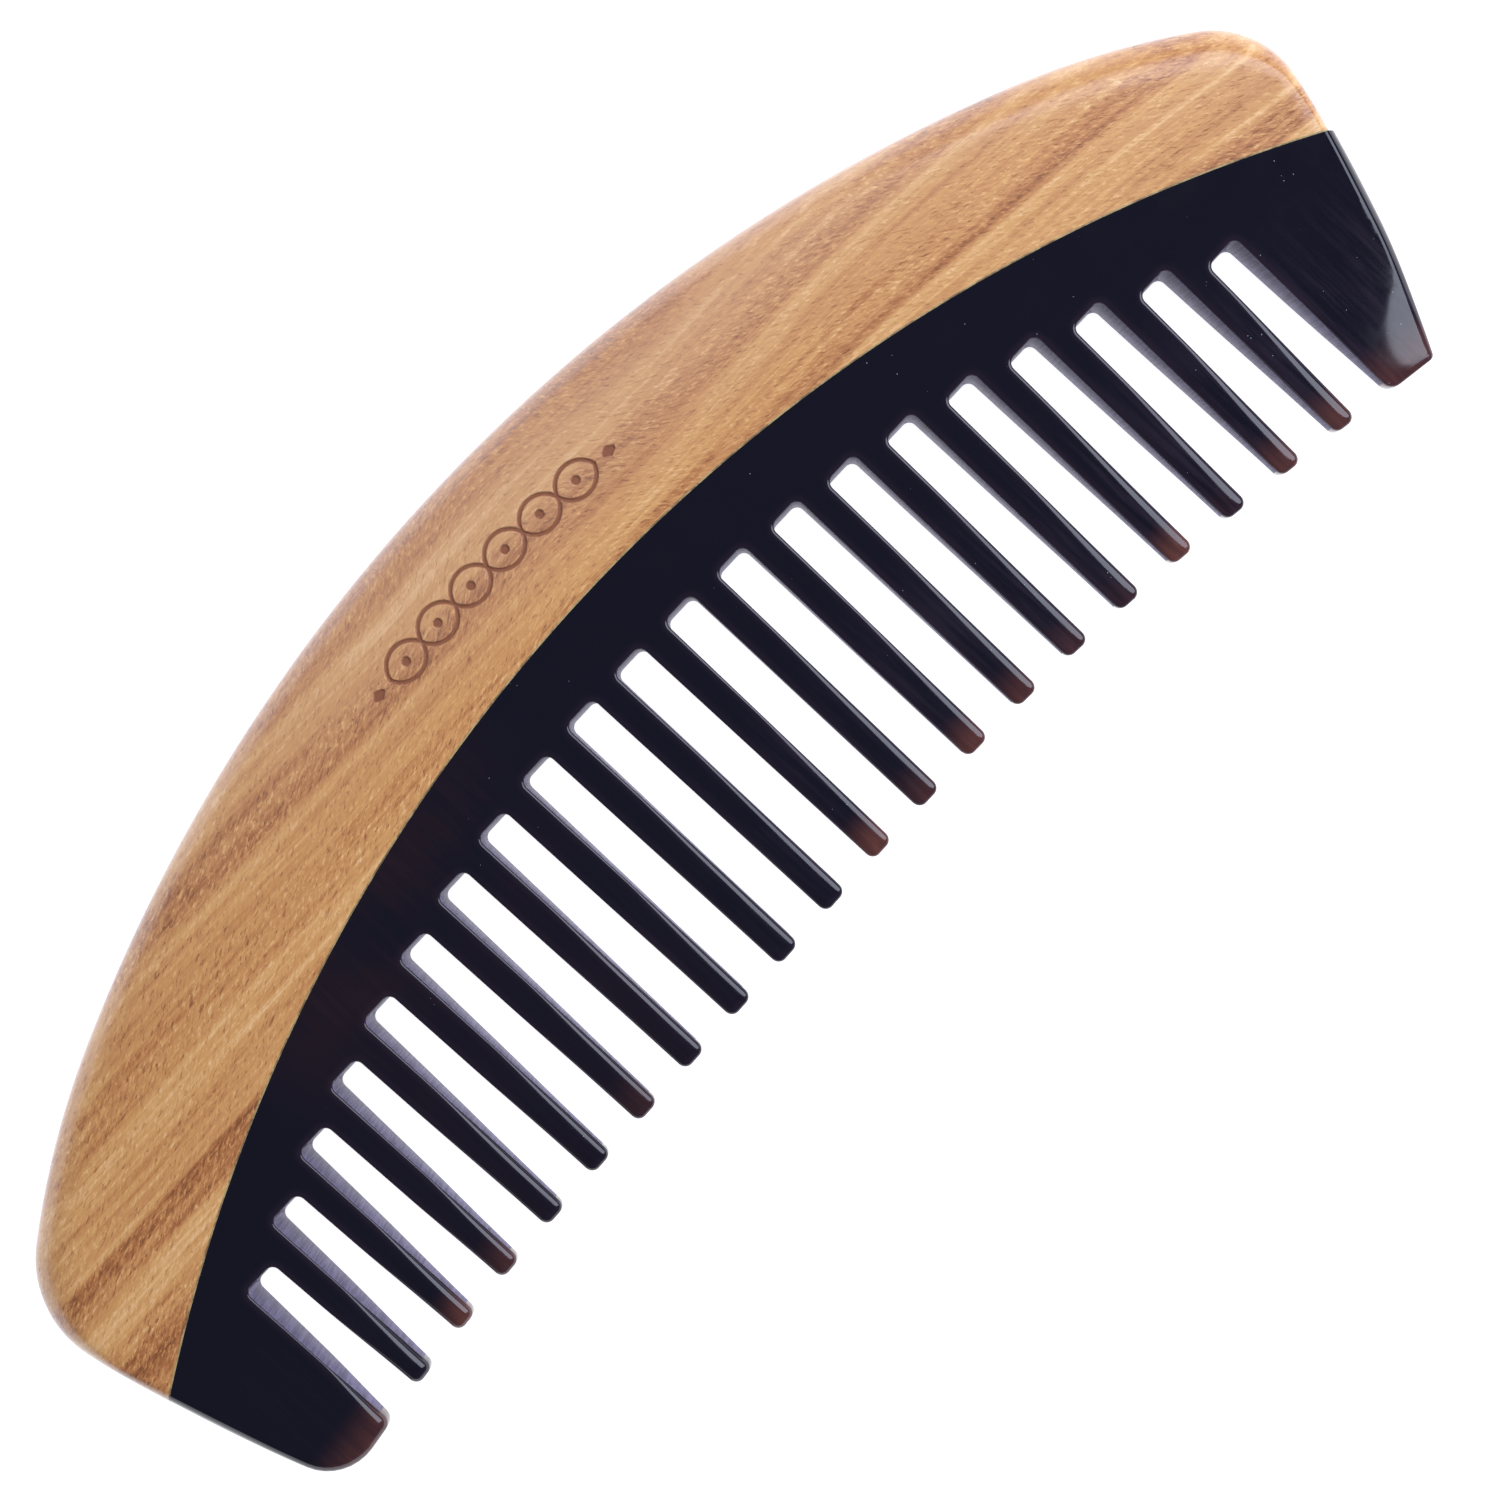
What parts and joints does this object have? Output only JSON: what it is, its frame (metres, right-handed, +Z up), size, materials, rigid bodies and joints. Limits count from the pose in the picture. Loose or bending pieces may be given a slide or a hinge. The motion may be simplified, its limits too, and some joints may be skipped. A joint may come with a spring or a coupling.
{
  "type": "wide-tooth comb",
  "caption": "Crescent wide-tooth comb: a rounded wooden back glued to a polished horn plate whose parallel teeth run between broad guard teeth.",
  "frame": {"origin": "middle of the comb's box in X and Y, on the surface that the comb lies on", "axes": "+X along the comb's length with the longer guard tooth at the +X end, +Y from the tooth tips to the back, +Z up through the thickness"},
  "size_m": [0.165, 0.0594, 0.0085],
  "materials": {
    "wood": "hand-polished satin with a soft sheen, grain along the comb's length",
    "horn": "polished near-black horn, reddish brown and slightly see-through at the tips",
    "glue": "thin pale line of hardened adhesive"
  },
  "bodies": {
    "root": {"wood_back": "wood", "horn_tooth_plate": "horn", "glue_film": "glue"}
  },
  "joints": []
}
